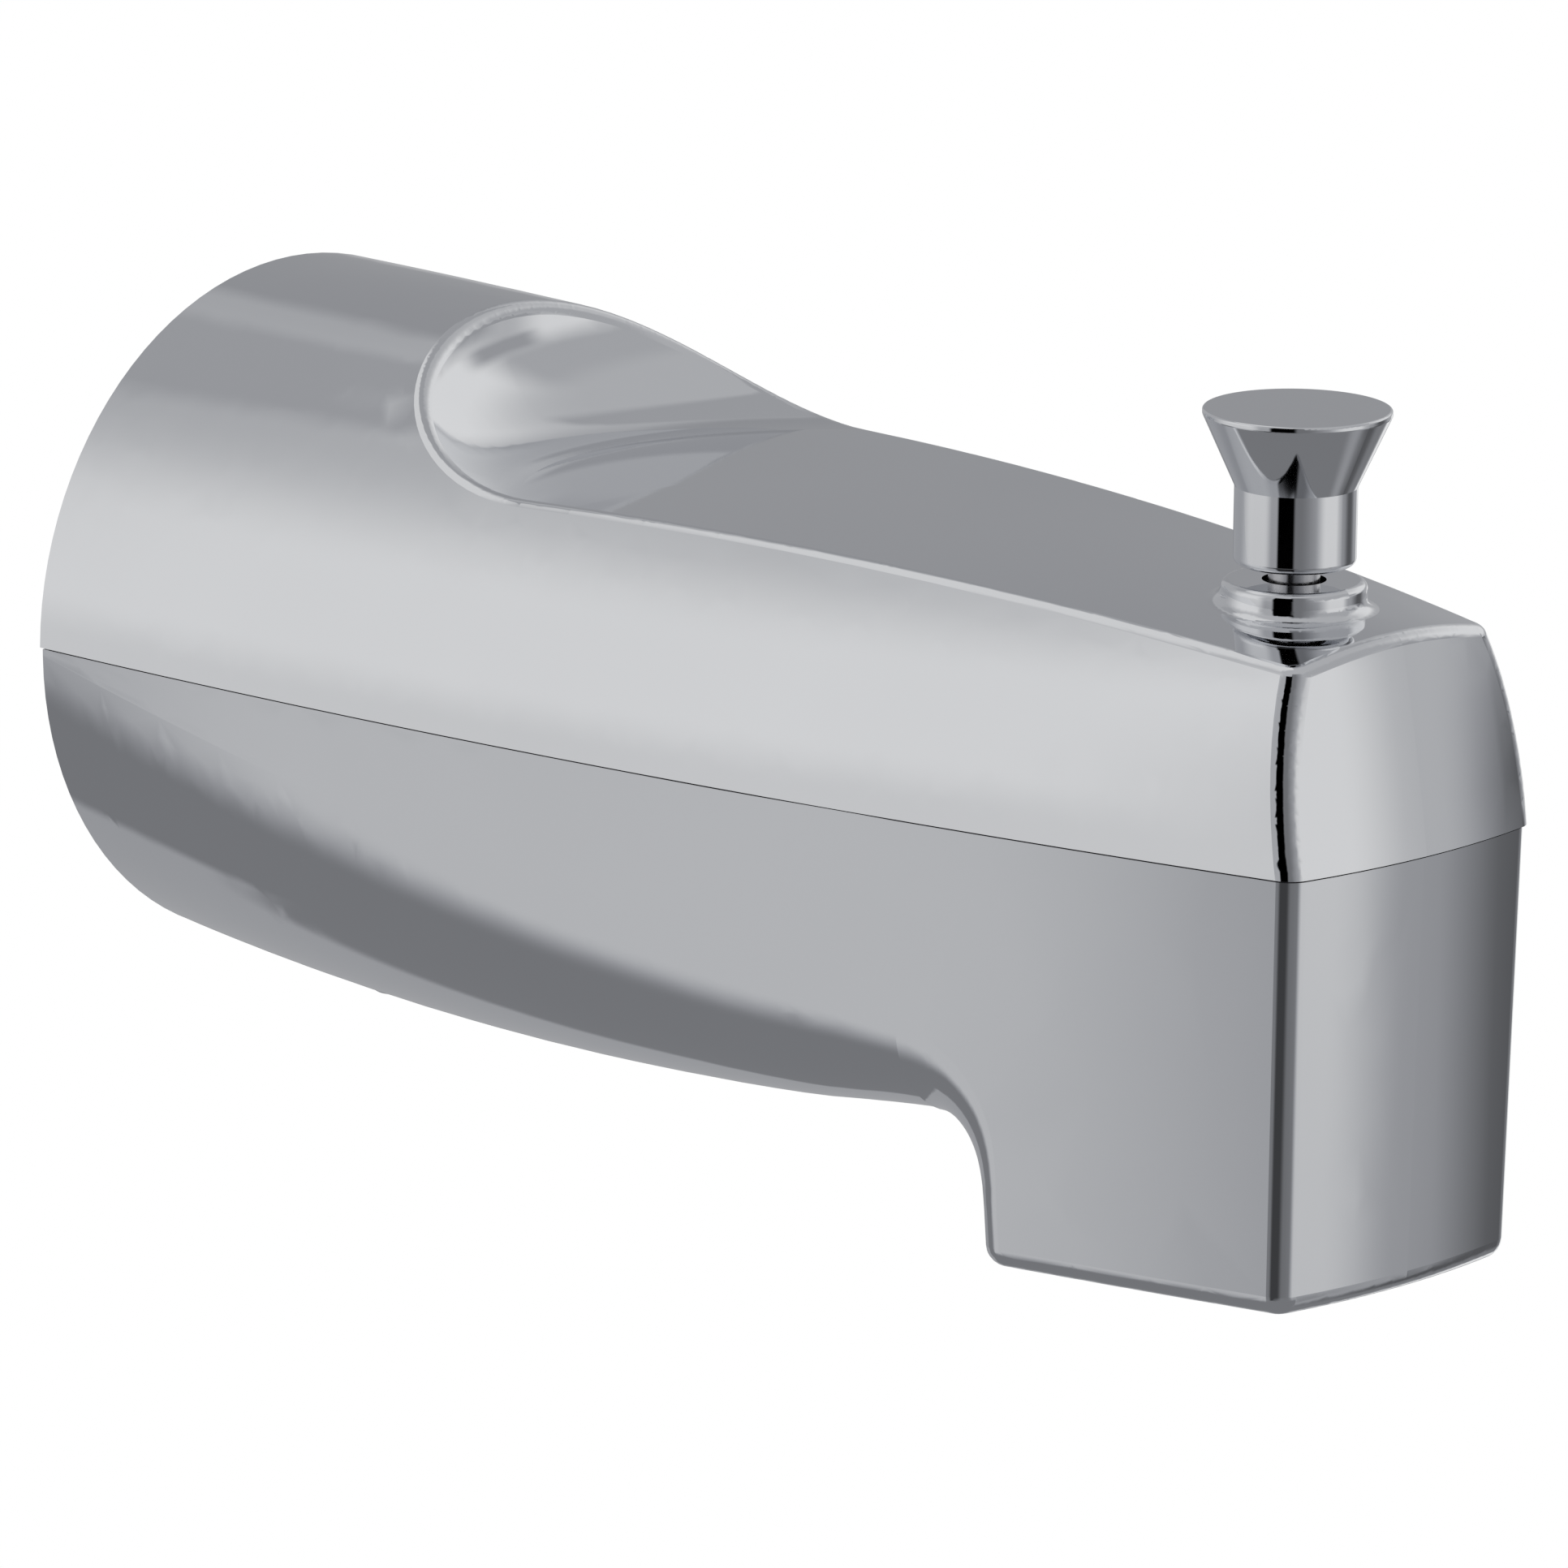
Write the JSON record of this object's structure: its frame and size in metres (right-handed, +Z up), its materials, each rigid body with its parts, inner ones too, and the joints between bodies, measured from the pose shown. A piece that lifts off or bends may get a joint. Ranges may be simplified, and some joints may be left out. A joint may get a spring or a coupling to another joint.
{
  "type": "bath spout",
  "caption": "Wall mounted bath spout with a lift-up knob that sends the water to a shower: chrome two-shell body, scooped flat top and a short downturned nozzle.",
  "frame": {"origin": "centre of the wall end, on the supply tube's axis, in the plane of the wall", "axes": "+X out of the wall along the spout to its front, +Z up, +Y to the left of someone who faces the wall's outside from the spout's rear; the shells meet in the plane z = 0"},
  "size_m": [0.166, 0.076, 0.0904],
  "materials": {
    "chrome_shell": "bright chrome plate over die-cast metal",
    "chrome_knob": "bright chrome plate",
    "brass_hub": "turned brass",
    "black_rubber": "moulded nitrile rubber",
    "steel": "stainless steel",
    "pale_plastic": "moulded acetal, light grey",
    "white_plastic": "moulded acetal, white"
  },
  "bodies": {
    "spout": {"upper_shell": "chrome_shell", "lower_shell": "chrome_shell", "inlet_hub": "brass_hub", "tube_o_ring_rear": "black_rubber", "tube_o_ring_front": "black_rubber", "set_screw": "steel", "spigot_o_ring": "black_rubber", "hub_retaining_clip": "steel", "waterway": "pale_plastic", "waterway_screws": "steel", "chamber_cap": "pale_plastic", "cap_gasket": "black_rubber", "cap_screws": "steel", "rod_o_ring": "black_rubber", "rod_bushing": "white_plastic", "stream_straightener": "white_plastic"},
    "diverter": {"diverter_knob": "chrome_knob", "lift_rod": "steel", "gate_carrier": "white_plastic", "gate_seal": "black_rubber", "gate_clip": "steel"}
  },
  "joints": [
    {"name": "diverter_lift", "type": "slide", "parent": "spout", "child": "diverter", "axis": [0, 0, 1], "range_m": [0, 0.013]}
  ]
}
